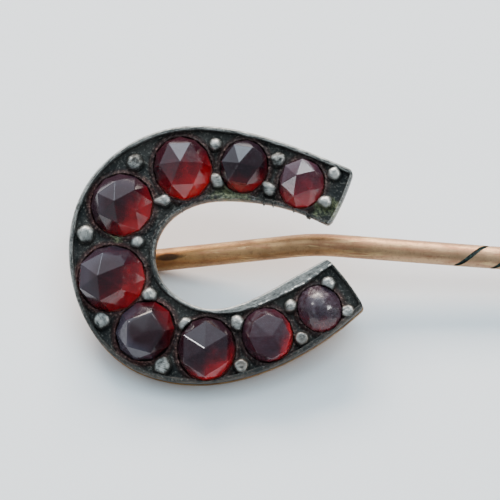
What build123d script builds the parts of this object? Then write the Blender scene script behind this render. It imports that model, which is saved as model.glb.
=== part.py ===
from build123d import *
from collections import namedtuple
import math
import os

os.makedirs("parts", exist_ok=True)

# All sizes are millimetres. The head is drawn flat first: X runs from the toe of
# the horseshoe to its opening, Y across the arms, Z out of the face, and the top
# of the rim is Z = 0. The whole pin is laid down as it rests at the very end.

# Head
HEAD_LENGTH = 15.5
HEAD_WIDTH = 14.0
LARGEST_STONE = 3.7
SILVER_THICK = 0.95
RIM_WIDTH = 0.25
RECESS_DEPTH = 0.42
CORNER_RADIUS = 0.26
END_BOW_DEPTH = 0.10
RECESS_CORNER_RADIUS = 0.12
RIM_ROUND_RADIUS = 0.12

# Gold back, soldered to the stem
BACK_THICK = 0.35
BACK_LIP_WIDTH = 0.05
BACK_SETBACK_WIDTH = 0.03
SEAM_GAP = 0.02

# Stones and their seats
STONE_GAP = 0.03
GIRDLE_DEPTH = 0.10
GIRDLE_THICK = 0.08
BODY_DEPTH = 0.42
BASE_SHARE = 0.80
STAR_LEAN_SHARE = 0.75

# Grains
GRAIN_DEPTH = 0.14
GRAIN_ROOT_DEPTH = 0.10

# Stem
WIRE_DIAMETER = 1.22
HEEL_LENGTH = 2.3
STEM_OFFSET_WIDTH = 0.24
COLLAR_HEIGHT = 0.45
COLLAR_SPREAD_WIDTH = 0.35
PLAIN_LENGTH = 6.45
TWIST_LENGTH = 9.25
TWIST_PITCH_LENGTH = 4.0
TWIST_STARTS = 2
TWIST_PHASE = -7.0
GROOVE_WIDTH = 0.30
GROOVE_DEPTH = 0.15
SHANK_LENGTH = 25.0
TAPER_LENGTH = 8.0
POINT_DIAMETER = 0.22

WIRE_RADIUS = WIRE_DIAMETER / 2
BACK_FRONT = -SILVER_THICK - SEAM_GAP
BACK_REAR = BACK_FRONT - BACK_THICK

# The band of the horseshoe, one row per section, from the tip of the upper arm
# round the toe to the tip of the lower arm. along and across are shares of the
# head's length and width, bearing is the outward direction in degrees, outer,
# inner and band (the inner rim) are shares of the largest stone.
Section = namedtuple("Section", "name along across bearing outer inner band")
BAND = [
    Section("upper_tip", 0.943, 0.182, 60.6, 0.432, 0.420, 0.065),
    Section("1", 0.816, 0.248, 67.5, 0.455, 0.397, 0.050),
    Section("2", 0.621, 0.331, 78.4, 0.499, 0.493, 0.075),
    Section("3", 0.408, 0.341, 103.6, 0.612, 0.550, 0.070),
    Section("4", 0.189, 0.216, 143.8, 0.597, 0.680, 0.070),
    Section("5", 0.140, -0.064, 187.1, 0.574, 0.660, 0.075),
    Section("6", 0.245, -0.274, 229.5, 0.570, 0.678, 0.066),
    Section("7", 0.453, -0.359, 264.1, 0.495, 0.578, 0.055),
    Section("8", 0.665, -0.322, 285.7, 0.453, 0.560, 0.125),
    Section("9", 0.851, -0.235, 298.7, 0.390, 0.583, 0.165),
    Section("lower_tip", 0.950, -0.149, 303.2, 0.405, 0.466, 0.110),
]

# Rose cut garnets, one row per stone, seated at the band's sections. length (along
# the band) and width are shares of the largest stone, crown is the height over the
# girdle as a share of the stone's width, lean_x and lean_y move the apex by a share
# of half the width, star is the ring of the star facets as a share of the girdle and
# level its height as a share of the crown, points is how many star facets, turn is
# their rotation in degrees.
Stone = namedtuple("Stone", "name length width crown lean_x lean_y star level points turn")
STONES = [
    Stone("1", 0.649, 0.719, 0.36, -0.14, 0.26, 0.78, 0.62, 6, 37),
    Stone("2", 0.692, 0.778, 0.35, -0.13, 0.03, 0.80, 0.62, 6, -1),
    Stone("3", 0.838, 0.930, 0.35, 0.00, 0.10, 0.76, 0.62, 6, 46),
    Stone("4", 0.908, 0.903, 0.34, -0.16, 0.05, 0.68, 0.62, 6, 37),
    Stone("5", 0.957, 0.980, 0.37, -0.33, 0.02, 0.73, 0.62, 6, 47),
    Stone("6", 0.822, 0.897, 0.26, 0.04, -0.12, 0.70, 0.86, 5, 2),
    Stone("7", 0.838, 0.914, 0.35, 0.01, -0.05, 0.88, 0.62, 6, 32),
    Stone("8", 0.724, 0.795, 0.28, 0.17, -0.13, 0.82, 0.77, 8, 30),
    Stone("9", 0.622, 0.690, 0.36, 0.00, 0.00, 0.58, 0.62, 8, 15),
]

# Grains that grip the stones, a pair in each gap. outer and inner are the reach of
# the two grains from the middle of the gap, outer_size and inner_size their
# diameters, all shares of the largest stone; turn skews the pair in degrees.
Pair = namedtuple("Pair", "gap outer outer_size inner inner_size turn")
PAIRS = [
    Pair("1-2", 0.227, 0.232, 0.205, 0.200, 0),
    Pair("2-3", 0.322, 0.200, 0.205, 0.216, 0),
    Pair("3-4", 0.416, 0.243, 0.273, 0.200, -5),
    Pair("4-5", 0.435, 0.265, 0.305, 0.189, 0),
    Pair("5-6", 0.422, 0.265, 0.332, 0.232, 6),
    Pair("6-7", 0.386, 0.265, 0.260, 0.243, 12),
    Pair("7-8", 0.319, 0.216, 0.273, 0.216, 9),
    Pair("8-9", 0.243, 0.216, 0.232, 0.189, 10),
]

# The two loose grains at each tip, from the tip section's own middle: forward is
# toward the arm's end, out is away from the opening, shares of the largest stone.
TipGrain = namedtuple("TipGrain", "tip forward out size")
TIP_GRAINS = [
    TipGrain("upper_tip", -0.231, 0.262, 0.200),
    TipGrain("upper_tip", -0.181, -0.135, 0.200),
    TipGrain("lower_tip", -0.194, 0.250, 0.200),
    TipGrain("lower_tip", -0.204, -0.195, 0.216),
]

# The stem's straight legs. rise tilts a leg toward the face and swing turns it
# toward the upper arm, in degrees; bend is the centre line's radius before the leg.
Leg = namedtuple("Leg", "name length rise swing bend")
LEGS = [
    Leg("post", 2.2, -90.0, 0.0, 0.0),
    Leg("upper_shank", 10.85, 7.5, 1.0, 1.1),
    Leg("lower_shank", 50.0, -3.6, -8.0, 9.0),
]


def place(along, across):
    return Vector(along * HEAD_LENGTH, across * HEAD_WIDTH, 0)


def heading(degrees):
    turn = math.radians(degrees)
    return Vector(math.cos(turn), math.sin(turn), 0)


def section(name):
    return next(row for row in BAND if row.name == name)


def tip_direction(row):
    side = -90 if row.across > 0 else 90
    return heading(row.bearing + side)


def band_edges(outer_in=0.0, inner_in=0.0, end_in=0.0, beside_band=False):
    """Points of the outer and inner edge, moved into the metal by the given widths."""
    outer = []
    inner = []
    for row in BAND:
        centre = place(row.along, row.across)
        if row.name.endswith("tip"):
            centre = centre - tip_direction(row) * end_in
        reach = row.outer * LARGEST_STONE - outer_in
        back = row.inner * LARGEST_STONE - inner_in
        if beside_band:
            back -= row.band * LARGEST_STONE
        outer.append(centre + heading(row.bearing) * reach)
        inner.append(centre - heading(row.bearing) * back)
    return outer, inner


def band_face(edges, corner, level):
    """The horseshoe band as a flat face with rounded corners."""
    outer, inner = edges
    first = tip_direction(BAND[0]) * END_BOW_DEPTH
    last = tip_direction(BAND[-1]) * END_BOW_DEPTH
    lines = [
        Spline(*outer),
        ThreePointArc(outer[-1], (outer[-1] + inner[-1]) * 0.5 + last, inner[-1]),
        Spline(*reversed(inner)),
        ThreePointArc(inner[0], (outer[0] + inner[0]) * 0.5 + first, outer[0]),
    ]
    face = make_face(lines)
    face = fillet(face.vertices(), corner)
    return Pos(0, 0, level) * face


def rose_cut(stone, grow=0.0):
    """A pointed rose cut: star facets, cross facets, thin girdle, flat base."""
    row = section(stone.name)
    centre = place(row.along, row.across)
    out = heading(row.bearing)
    tangent = heading(row.bearing - 90)
    half_length = stone.length * LARGEST_STONE / 2 + grow
    half_width = stone.width * LARGEST_STONE / 2 + grow
    crown = stone.crown * stone.width * LARGEST_STONE + grow
    lean = Vector(stone.lean_x, stone.lean_y, 0) * (stone.width * LARGEST_STONE / 2)

    def ring(count, share, level, shift, offset):
        points = []
        for k in range(count):
            angle = math.radians(stone.turn + offset + k * 360 / count)
            flat = tangent * (math.cos(angle) * half_length * share)
            flat = flat + out * (math.sin(angle) * half_width * share)
            points.append(centre + flat + lean * shift + Vector(0, 0, level))
        return points

    n = stone.points
    top = crown - GIRDLE_DEPTH
    star_level = stone.level * crown - GIRDLE_DEPTH
    base_level = -GIRDLE_DEPTH - BODY_DEPTH - grow
    apex = centre + lean + Vector(0, 0, top)
    star = ring(n, stone.star, star_level, STAR_LEAN_SHARE, 0)
    girdle = ring(2 * n, 1.0, grow * 0.3 - GIRDLE_DEPTH, 0, 0)
    lower = ring(2 * n, 1.0, -GIRDLE_DEPTH - GIRDLE_THICK, 0, 0)
    base = ring(2 * n, BASE_SHARE, base_level, 0, 0)

    loops = []
    for k in range(n):
        s0 = star[k]
        s1 = star[(k + 1) % n]
        g0 = girdle[2 * k]
        g1 = girdle[2 * k + 1]
        g2 = girdle[(2 * k + 2) % (2 * n)]
        loops.append([apex, s0, s1])
        loops.append([s0, g1, s1])
        loops.append([s0, g0, g1])
        loops.append([s1, g1, g2])
    for k in range(2 * n):
        m = (k + 1) % (2 * n)
        loops.append([girdle[k], lower[k], lower[m], girdle[m]])
        loops.append([lower[k], base[k], base[m], lower[m]])
    loops.append(base)
    faces = [Face(Wire.make_polygon(loop)) for loop in loops]
    return Solid(Shell(faces))


def grain(spot, size):
    """A rounded silver peg raised from the recessed plate."""
    radius = size * LARGEST_STONE / 2
    foot = -RECESS_DEPTH - GRAIN_ROOT_DEPTH
    height = -GRAIN_DEPTH - foot
    peg = Pos(spot.X, spot.Y, foot + height / 2) * Cylinder(radius, height)
    head = Pos(spot.X, spot.Y, -GRAIN_DEPTH) * Sphere(radius)
    return peg + head


def grain_spots():
    spots = []
    for pair in PAIRS:
        one, two = pair.gap.split("-")
        a = section(one)
        b = section(two)
        first = next(s for s in STONES if s.name == one)
        second = next(s for s in STONES if s.name == two)
        start = place(a.along, a.across)
        end = place(b.along, b.across)
        chord = (end - start).normalized()
        span = (end - start).length
        near = first.length * LARGEST_STONE / 2
        far = second.length * LARGEST_STONE / 2
        middle = start + chord * (near + (span - near - far) / 2)
        skew = math.radians(pair.turn)
        side = Vector(chord.Y, -chord.X, 0)
        side = side * math.cos(skew) - chord * math.sin(skew)
        spots.append((middle + side * (pair.outer * LARGEST_STONE), pair.outer_size))
        spots.append((middle - side * (pair.inner * LARGEST_STONE), pair.inner_size))
    for item in TIP_GRAINS:
        row = section(item.tip)
        spot = place(row.along, row.across)
        spot = spot + tip_direction(row) * (item.forward * LARGEST_STONE)
        spot = spot + heading(row.bearing) * (item.out * LARGEST_STONE)
        spots.append((spot, item.size))
    return spots


def silver_setting():
    body = extrude(band_face(band_edges(), CORNER_RADIUS, -SILVER_THICK), SILVER_THICK)
    body = fillet(body.edges().filter_by_position(Axis.Z, -0.001, 0.001), RIM_ROUND_RADIUS)
    inside = band_edges(RIM_WIDTH, 0, RIM_WIDTH, beside_band=True)
    body -= extrude(band_face(inside, RECESS_CORNER_RADIUS, -RECESS_DEPTH), RECESS_DEPTH * 2)
    for spot, size in grain_spots():
        body += grain(spot, size)
    for stone in STONES:
        body -= rose_cut(stone, STONE_GAP)
    return body


def direction(leg):
    rise = math.radians(leg.rise)
    swing = math.radians(leg.swing)
    flat = math.cos(rise)
    return Vector(flat * math.cos(swing), flat * math.sin(swing), math.sin(rise))


def stem_path():
    """Centre line pieces of the stem and the frame where the lower shank begins."""
    corner = Vector(HEEL_LENGTH, STEM_OFFSET_WIDTH, BACK_REAR)
    start = corner
    pieces = []
    for k, leg in enumerate(LEGS):
        ahead = direction(leg)
        corner = corner + ahead * leg.length
        if k + 1 == len(LEGS):
            return pieces, start, ahead, corner
        turn = direction(LEGS[k + 1])
        angle = math.acos(ahead.dot(turn))
        radius = LEGS[k + 1].bend
        back = radius * math.tan(angle / 2)
        sag = radius / math.cos(angle / 2) - radius
        first = corner - ahead * back
        last = corner + turn * back
        middle = corner + (turn - ahead).normalized() * sag
        if (first - start).length > 1e-6:
            pieces.append(Line(start, first))
        pieces.append(ThreePointArc(first, middle, last))
        start = last
    return pieces, start, ahead, corner


def twisted_shank():
    """Shank with spiral grooves, standing on XY with its axis on Z."""
    section_face = Circle(WIRE_RADIUS)
    for k in range(TWIST_STARTS):
        angle = math.radians(TWIST_PHASE + k * 360 / TWIST_STARTS)
        notch = Pos(WIRE_RADIUS, 0) * Rectangle(2 * GROOVE_DEPTH, GROOVE_WIDTH)
        section_face -= Rot(0, 0, math.degrees(angle)) * notch
    turns = TWIST_LENGTH / TWIST_PITCH_LENGTH * 360
    return Solid.extrude_linear_with_rotation(
        section_face.faces()[0], (0, 0, 0), (0, 0, TWIST_LENGTH), -turns
    )


def gold_pin():
    outline = band_edges(-BACK_LIP_WIDTH, BACK_SETBACK_WIDTH, BACK_SETBACK_WIDTH)
    plate = extrude(band_face(outline, CORNER_RADIUS, BACK_REAR), BACK_THICK)
    pieces, start, ahead, end = stem_path()
    path = Wire(pieces + [Line(start, start + ahead * PLAIN_LENGTH)])
    root = Plane(origin=(HEEL_LENGTH, STEM_OFFSET_WIDTH, BACK_REAR), z_dir=(0, 0, -1))
    stem = sweep(root * Circle(WIRE_RADIUS), path=path)
    collar_base = WIRE_RADIUS + COLLAR_SPREAD_WIDTH
    collar = Pos(HEEL_LENGTH, STEM_OFFSET_WIDTH, BACK_REAR - COLLAR_HEIGHT / 2) * Cone(
        WIRE_RADIUS, collar_base, COLLAR_HEIGHT
    )
    straight = Plane(origin=start + ahead * PLAIN_LENGTH, z_dir=ahead)
    shank = straight * twisted_shank()
    shank += straight * Pos(0, 0, TWIST_LENGTH + SHANK_LENGTH / 2) * Cylinder(
        WIRE_RADIUS, SHANK_LENGTH
    )
    taper_start = TWIST_LENGTH + SHANK_LENGTH
    shank += straight * Pos(0, 0, taper_start + TAPER_LENGTH / 2) * Cone(
        WIRE_RADIUS, POINT_DIAMETER / 2, TAPER_LENGTH
    )
    shank += straight * Pos(0, 0, taper_start + TAPER_LENGTH) * Sphere(POINT_DIAMETER / 2)
    return plate + collar + stem + shank


def contact_groups():
    """What can touch the ground: the heel, the rear edge of the arm, the far end."""
    pieces, start, ahead, corner = stem_path()
    heel = []
    for piece in pieces[:3]:
        heel += [(piece.position_at(k / 24), WIRE_RADIUS) for k in range(25)]
    outer, inner = band_edges(-BACK_LIP_WIDTH, BACK_SETBACK_WIDTH, BACK_SETBACK_WIDTH)
    edge = Spline(*outer)
    rear = [edge.position_at(k / 200) for k in range(201)]
    arm = [(Vector(p.X, p.Y, BACK_REAR), 0.0) for p in rear if p.Y < 0]
    shank_end = start + ahead * (PLAIN_LENGTH + TWIST_LENGTH + SHANK_LENGTH)
    tip = shank_end + ahead * TAPER_LENGTH
    point = [(shank_end, WIRE_RADIUS), (tip, POINT_DIAMETER / 2)]
    return heel, arm, point


def resting_frame():
    """Ground plane through the three contacts, as origin, heading and normal."""
    groups = contact_groups()
    normal = Vector(-0.07, -0.37, 0.93).normalized()
    for step in range(40):
        touch = []
        for group in groups:
            spot, radius = min(group, key=lambda item: item[0].dot(normal) - item[1])
            touch.append(spot - normal * radius)
        heel, arm, point = touch
        normal = (point - heel).cross(heel - arm)
        if normal.Z < 0:
            normal = normal * -1
        normal = normal.normalized()
    return heel, point - heel, normal


def lay_down(shapes):
    """Turn the pin onto the ground and centre its bounding box on the origin."""
    heel, ahead, normal = resting_frame()
    ground = Plane(origin=heel, x_dir=ahead, z_dir=normal)
    laid = {name: ground.location.inverse() * shape for name, shape in shapes.items()}
    boxes = [shape.bounding_box() for shape in laid.values()]
    low_x = min(box.min.X for box in boxes)
    high_x = max(box.max.X for box in boxes)
    low_y = min(box.min.Y for box in boxes)
    high_y = max(box.max.Y for box in boxes)
    shift = Pos(-(low_x + high_x) / 2, -(low_y + high_y) / 2, 0)
    return {name: shift * shape for name, shape in laid.items()}


pieces = {"silver_setting": silver_setting(), "gold_pin_and_back": gold_pin()}
for stone in STONES:
    pieces["garnet_" + stone.name] = rose_cut(stone)

for name, shape in lay_down(pieces).items():
    export_step(shape, "parts/" + name + ".step")
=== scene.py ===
import math
from collections import namedtuple

import bmesh
import bpy
import numpy as np
from bpy.props import FloatProperty, FloatVectorProperty, PointerProperty
from mathutils import Matrix, Vector


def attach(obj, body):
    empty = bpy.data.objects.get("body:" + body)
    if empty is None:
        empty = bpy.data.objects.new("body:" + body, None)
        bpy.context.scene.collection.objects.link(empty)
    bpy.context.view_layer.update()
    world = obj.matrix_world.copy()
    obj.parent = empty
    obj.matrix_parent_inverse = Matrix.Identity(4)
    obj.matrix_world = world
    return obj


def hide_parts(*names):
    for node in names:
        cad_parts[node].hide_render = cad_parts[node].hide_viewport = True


bl_info = {
    "name": "Horseshoe Stick Pin",
    "version": (1, 0, 0),
    "blender": (4, 5, 0),
    "location": "View3D > Sidebar > Stick Pin",
    "description": "Dresses a horseshoe stick pin in blackened silver, garnet and rose gold",
    "category": "Object",
}

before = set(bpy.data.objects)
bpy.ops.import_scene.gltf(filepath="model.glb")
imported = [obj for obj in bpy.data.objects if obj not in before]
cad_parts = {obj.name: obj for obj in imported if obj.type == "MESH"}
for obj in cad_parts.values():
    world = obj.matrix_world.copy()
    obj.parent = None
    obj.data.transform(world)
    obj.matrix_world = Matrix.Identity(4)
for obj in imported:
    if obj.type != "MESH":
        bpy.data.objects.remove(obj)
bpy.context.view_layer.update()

# The head's own frame, in metres. The origin is the toe's outer point on the top of
# the rim, ALONG runs from the toe to the opening, ACROSS to the upper arm, and OUT
# is the way the stones look. Sizes on the head are millimetres in this frame.
MM = 0.001
HEAD = Vector((-0.031345, -0.00100048, 0.00340203))
ALONG = Vector((0.993609, 0.091411, 0.066218))
ACROSS = Vector((-0.109694, 0.920288, 0.375548))
OUT = Vector((-0.026611, -0.380412, 0.924434))

# Centre line of the straight shank, in metres, and the radii between which its
# surface turns from the bare wire to the bottom of the groove.
SHANK_MIDDLE = Vector((0.0109313, 0.000988099, 0.00116955))
SHANK_AXIS = Vector((0.998905, -0.013598, -0.044764))
GROOVE_TOP = 0.000594
GROOVE_DEEP = 0.000560

# Where the twisted part lies along the length, in metres.
TWIST_MIDDLE = -0.0062
TWIST_REACH = 0.0060

# Where the stem's colour turns from the head's browner gold to the paler one, in metres.
BROWN_END = -0.026
PALE_START = -0.010

# The band of the horseshoe, one row per section from the upper tip round the toe to
# the lower tip: the middle's place, the outward bearing in degrees, and the reach to
# the outer edge, to the inner edge and the inner rim's width.
Band = namedtuple("Band", "along across bearing outer inner rim")
BAND = [
    Band(14.700, 2.500, 62.4, 1.680, 1.554, 0.241),
    Band(12.648, 3.472, 67.5, 1.740, 1.469, 0.185),
    Band(9.626, 4.634, 78.4, 1.846, 1.824, 0.278),
    Band(6.324, 4.774, 103.6, 2.264, 2.035, 0.259),
    Band(2.930, 3.024, 143.8, 2.209, 2.516, 0.259),
    Band(2.170, -0.896, 187.1, 2.124, 2.442, 0.278),
    Band(3.798, -3.836, 229.5, 2.109, 2.509, 0.244),
    Band(7.022, -5.026, 264.1, 1.822, 2.139, 0.204),
    Band(10.308, -4.508, 285.7, 1.676, 2.072, 0.490),
    Band(13.191, -3.290, 298.7, 1.443, 2.157, 0.655),
    Band(14.725, -2.086, 303.2, 1.499, 1.724, 0.450),
]

# The nine stones and their seats: middle, bearing, half length along the band and half
# width across it.
Stone = namedtuple("Stone", "name along across bearing length width")
STONES = [
    Stone("garnet_1", 12.648, 3.472, 67.5, 1.201, 1.330),
    Stone("garnet_2", 9.626, 4.634, 78.4, 1.280, 1.439),
    Stone("garnet_3", 6.324, 4.774, 103.6, 1.550, 1.721),
    Stone("garnet_4", 2.930, 3.024, 143.8, 1.680, 1.671),
    Stone("garnet_5", 2.170, -0.896, 187.1, 1.770, 1.813),
    Stone("garnet_6", 3.798, -3.836, 229.5, 1.521, 1.659),
    Stone("garnet_7", 7.022, -5.026, 264.1, 1.550, 1.691),
    Stone("garnet_8", 10.308, -4.508, 285.7, 1.339, 1.471),
    Stone("garnet_9", 13.191, -3.290, 298.7, 1.151, 1.277),
]

# How each stone looks: the bearing of its side with the painted glow in degrees, how far
# the painted glow reaches in from there, how bright it is, how red the body is, how hazy the
# skin, how pale the painted sheen on the far flank, how dull the facets and how wide the edges
# between them are rubbed. The painted glow stands in for light coming through the stone.
Look = namedtuple("Look", "toward reach glow wine haze veil dull edge")
LOOKS = {
    "garnet_1": Look(-80, 1.60, 0.75, 0.9, 0.45, 0.5, 0.07, 0.014),
    "garnet_2": Look(-75, 0.60, 0.50, 0.1, 0.10, 0.2, 0.08, 0.014),
    "garnet_3": Look(-64, 1.50, 0.90, 0.5, 0.04, 0.1, 0.06, 0.012),
    "garnet_4": Look(-50, 1.00, 0.70, 0.3, 0.04, 0.3, 0.05, 0.012),
    "garnet_5": Look(-42, 1.00, 0.65, 0.3, 0.04, 0.5, 0.04, 0.012),
    "garnet_6": Look(15, 0.50, 0.12, 0.2, 0.03, 1.0, 0.10, 0.110),
    "garnet_7": Look(-62, 0.70, 0.75, 0.2, 0.25, 0.1, 0.05, 0.020),
    "garnet_8": Look(-20, 0.45, 1.05, 0.5, 0.50, 0.2, 0.10, 0.040),
    "garnet_9": Look(-90, 0.60, 0.25, 0.4, 0.80, 0.3, 0.20, 0.170),
}

# The grains that grip the stones: middle, radius, how high the top stands over the
# rim, how flat it is worn, how deep its top is cupped, a tail's length and bearing,
# and how bright the top is rubbed.
Grain = namedtuple("Grain", "along across radius top worn cup tail bearing shine")
GRAINS = [
    Grain(11.48, 4.87, 0.43, 0.20, 0.2, 0.03, 0.00, 0, 0.42),
    Grain(10.93, 3.28, 0.37, 0.17, 0.8, 0.00, 0.22, 125, 0.70),
    Grain(8.16, 5.93, 0.37, 0.22, 0.5, 0.00, 0.00, 0, 0.62),
    Grain(8.18, 3.93, 0.39, 0.18, 0.9, 0.00, 0.25, 140, 0.55),
    Grain(3.78, 5.28, 0.45, 0.26, 0.2, 0.05, 0.05, 250, 0.52),
    Grain(5.28, 3.10, 0.37, 0.20, 0.5, 0.00, 0.30, 180, 0.72),
    Grain(0.91, 1.58, 0.49, 0.28, 0.6, 0.02, 0.00, 0, 0.74),
    Grain(3.68, 0.98, 0.35, 0.18, 0.4, 0.02, 0.08, 200, 0.70),
    Grain(1.52, -3.12, 0.47, 0.22, 0.8, 0.02, 0.00, 0, 0.62),
    Grain(4.18, -1.95, 0.41, 0.20, 0.5, 0.00, 0.10, 170, 0.72),
    Grain(4.62, -5.77, 0.48, 0.22, 0.6, 0.07, 0.06, 60, 0.52),
    Grain(6.01, -3.66, 0.42, 0.22, 0.6, 0.02, 0.06, 200, 0.72),
    Grain(8.85, -6.06, 0.40, 0.20, 0.3, 0.11, 0.06, 160, 0.72),
    Grain(8.77, -3.79, 0.41, 0.22, 0.8, 0.00, 0.10, 100, 0.74),
    Grain(12.16, -4.83, 0.39, 0.20, 0.3, 0.10, 0.05, 170, 0.80),
    Grain(11.68, -3.03, 0.37, 0.20, 0.3, 0.02, 0.05, 240, 0.66),
    Grain(14.43, 3.89, 0.37, 0.20, 0.4, 0.04, 0.00, 0, 0.88),
    Grain(13.90, 2.40, 0.36, 0.20, 0.5, 0.00, 0.22, 160, 0.82),
    Grain(14.68, -3.52, 0.37, 0.20, 0.3, 0.08, 0.22, 180, 0.95),
    Grain(13.74, -2.03, 0.40, 0.22, 0.8, 0.00, 0.05, 90, 0.92),
]

# Where greenish dirt sits on the silver: middle and reach.
Moss = namedtuple("Moss", "along across reach")
MOSS = [Moss(14.31, 2.01, 0.75), Moss(8.92, 2.98, 1.1), Moss(13.6, 2.1, 0.5), Moss(2.6, 1.6, 0.5)]

# Lamps: place in metres, width and height of the lit face, power, colour, and whether
# polished surfaces mirror it.
Lamp = namedtuple("Lamp", "name place size power colour mirrored")
LAMPS = [
    Lamp("overhead", (-0.076, 0.207, 0.368), (0.15, 0.09), 0.20, (0.74, 0.88, 1.0), True),
    Lamp("corner", (0.134, 0.143, 0.368), (0.07, 0.07), 0.16, (0.95, 0.98, 1.0), True),
    Lamp("window", (-0.10, 0.45, 0.31), (0.40, 0.18), 5.4, (1.0, 0.86, 0.76), True),
    Lamp("low corner", (-0.214, -0.223, 0.184), (0.05, 0.05), 0.05, (0.90, 0.95, 1.0), True),
    Lamp("side", (-0.297, -0.173, 0.155), (0.38, 0.085), 0.05, (0.78, 0.90, 1.0), True),
    Lamp("fill", (0.10, 0.02, 0.45), (0.40, 0.30), 1.3, (0.66, 0.88, 1.0), False),
]

# Small bright panes that only show as glints on polished facets: bearing from the
# upper arm's side and height over the floor in degrees, size and power.
Pane = namedtuple("Pane", "name bearing height size power")
PANE_DISTANCE = 0.40
PANES = [
    Pane("pane on garnet 7", -87, 51, (0.040, 0.040), 0.20),
    Pane("pane on garnet 9", 92, 37, (0.120, 0.040), 0.90),
]


class SilverSizes(bpy.types.PropertyGroup):
    thickness: FloatProperty(
        name="Plate thickness",
        description="From the top of the rim to the back of the silver",
        default=0.00095,
        unit="LENGTH",
    )
    recess: FloatProperty(
        name="Recess depth",
        description="From the top of the rim down to the dark plate between the stones",
        default=0.00042,
        unit="LENGTH",
    )
    rim: FloatProperty(
        name="Rim width",
        description="Width of the raised rim along the outer edge",
        default=0.00025,
        unit="LENGTH",
    )
    grain_growth: FloatProperty(
        name="Grain growth",
        description="How much the grains are spread by wear, as a factor",
        default=1.12,
    )
    seat: FloatProperty(
        name="Seat depth",
        description="From the top of the rim down to the floor under a stone",
        default=0.00056,
        unit="LENGTH",
    )
    grit: FloatProperty(
        name="Grit height",
        description="Height of the crumbs and scratches on the dark plate",
        default=0.00004,
        unit="LENGTH",
    )
    black: FloatVectorProperty(
        name="Blackened silver",
        description="Colour of the plate between the stones",
        default=(0.014, 0.016, 0.015),
        subtype="COLOR",
    )
    bare: FloatVectorProperty(
        name="Bare silver",
        description="Colour where the black is rubbed away",
        default=(0.42, 0.425, 0.40),
        subtype="COLOR",
    )
    polished: FloatVectorProperty(
        name="Polished silver",
        description="Colour of the most rubbed places, such as the grains' tops",
        default=(0.88, 0.84, 0.76),
        subtype="COLOR",
    )


class GarnetSizes(bpy.types.PropertyGroup):
    edge: FloatProperty(
        name="Worn edge width",
        description="Width of the worn edges under the girdle",
        default=0.000014,
        unit="LENGTH",
    )
    wine: FloatVectorProperty(
        name="Wine red",
        description="Colour of the redder clouds in the stones",
        default=(0.10, 0.006, 0.016),
        subtype="COLOR",
    )
    # Painted glow: crimson painted on the side where light would come through a stone.
    glow: FloatVectorProperty(
        name="Glow",
        description="Colour of the side that the light comes through",
        default=(0.95, 0.012, 0.016),
        subtype="COLOR",
    )
    # Colour mixed in for the haze on worn facets and for the painted sheen on the far flank.
    haze_and_sheen: FloatVectorProperty(
        name="Haze And Sheen",
        description="Colour of the haze on worn facets",
        default=(0.13, 0.115, 0.16),
        subtype="COLOR",
    )


class GoldSizes(bpy.types.PropertyGroup):
    near_head: FloatVectorProperty(
        name="Gold near the head",
        description="Colour of the browner gold behind the head",
        default=(0.52, 0.285, 0.110),
        subtype="COLOR",
    )
    along_stem: FloatVectorProperty(
        name="Gold along the stem",
        description="Colour of the paler gold past the kink",
        default=(0.55, 0.345, 0.20),
        subtype="COLOR",
    )


class StageSizes(bpy.types.PropertyGroup):
    floor: FloatProperty(
        name="Floor half width",
        description="Half the side of the pale floor",
        default=1.5,
        unit="LENGTH",
    )
    distance: FloatProperty(
        name="Camera distance",
        description="From the lens to the middle of the picture",
        default=0.18,
        unit="LENGTH",
    )
    bright_side: FloatVectorProperty(
        name="Bright side",
        description="Where the brighter half of the room lies",
        default=(-0.299, 0.641, 0.707),
        subtype="DIRECTION",
    )
    view_width: FloatProperty(
        name="Picture width",
        description="Width of what the camera sees at the pin",
        default=0.0267,
        unit="LENGTH",
    )


def head_point(along, across, out):
    """A place in the head's own frame, in millimetres, as a place in the scene."""
    return HEAD + (ALONG * along + ACROSS * across + OUT * out) * MM


# Small shared shapes of numbers


def ease(value, low, high):
    """Smooth step from 0 at low to 1 at high."""
    t = np.clip((value - low) / (high - low), 0, 1)
    return t * t * (3 - 2 * t)


def lumps(x, y, size, seed):
    """Smooth random unevenness between -1 and 1, with lumps of the given size."""
    gx, gy = x / size + seed * 17.3, y / size - seed * 9.1
    ix, iy = np.floor(gx), np.floor(gy)
    fx, fy = gx - ix, gy - iy
    fx, fy = fx * fx * (3 - 2 * fx), fy * fy * (3 - 2 * fy)

    def corner(a, b):
        h = np.sin(a * 127.1 + b * 311.7 + seed * 74.7) * 43758.5453
        return (h - np.floor(h)) * 2 - 1

    low = corner(ix, iy) * (1 - fx) + corner(ix + 1, iy) * fx
    high = corner(ix, iy + 1) * (1 - fx) + corner(ix + 1, iy + 1) * fx
    return low * (1 - fy) + high * fy


def smooth_line(points, rows):
    """Natural cubic spline through the points, read at the given row numbers."""
    points = np.array(points, float)
    gaps = np.linalg.norm(np.diff(points, axis=0), axis=1)
    knots = np.concatenate([[0], np.cumsum(gaps)])
    n = len(points)
    system = np.zeros((n, n))
    right = np.zeros((n, 2))
    system[0, 0] = system[-1, -1] = 1
    for k in range(1, n - 1):
        a, b = gaps[k - 1], gaps[k]
        system[k, k - 1 : k + 2] = a, 2 * (a + b), b
        step = (points[k + 1] - points[k]) / b - (points[k] - points[k - 1]) / a
        right[k] = 6 * step
    bend = np.linalg.solve(system, right)
    at = np.interp(rows, np.arange(n), knots)
    k = np.clip(np.searchsorted(knots, at, side="right") - 1, 0, n - 2)
    h = gaps[k][:, None]
    u = (at - knots[k])[:, None]
    p, q = points[k], points[k + 1]
    m, w = bend[k], bend[k + 1]
    return (
        m * (h - u) ** 3 / (6 * h)
        + w * u**3 / (6 * h)
        + (p / h - m * h / 6) * (h - u)
        + (q / h - w * h / 6) * u
    )
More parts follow.
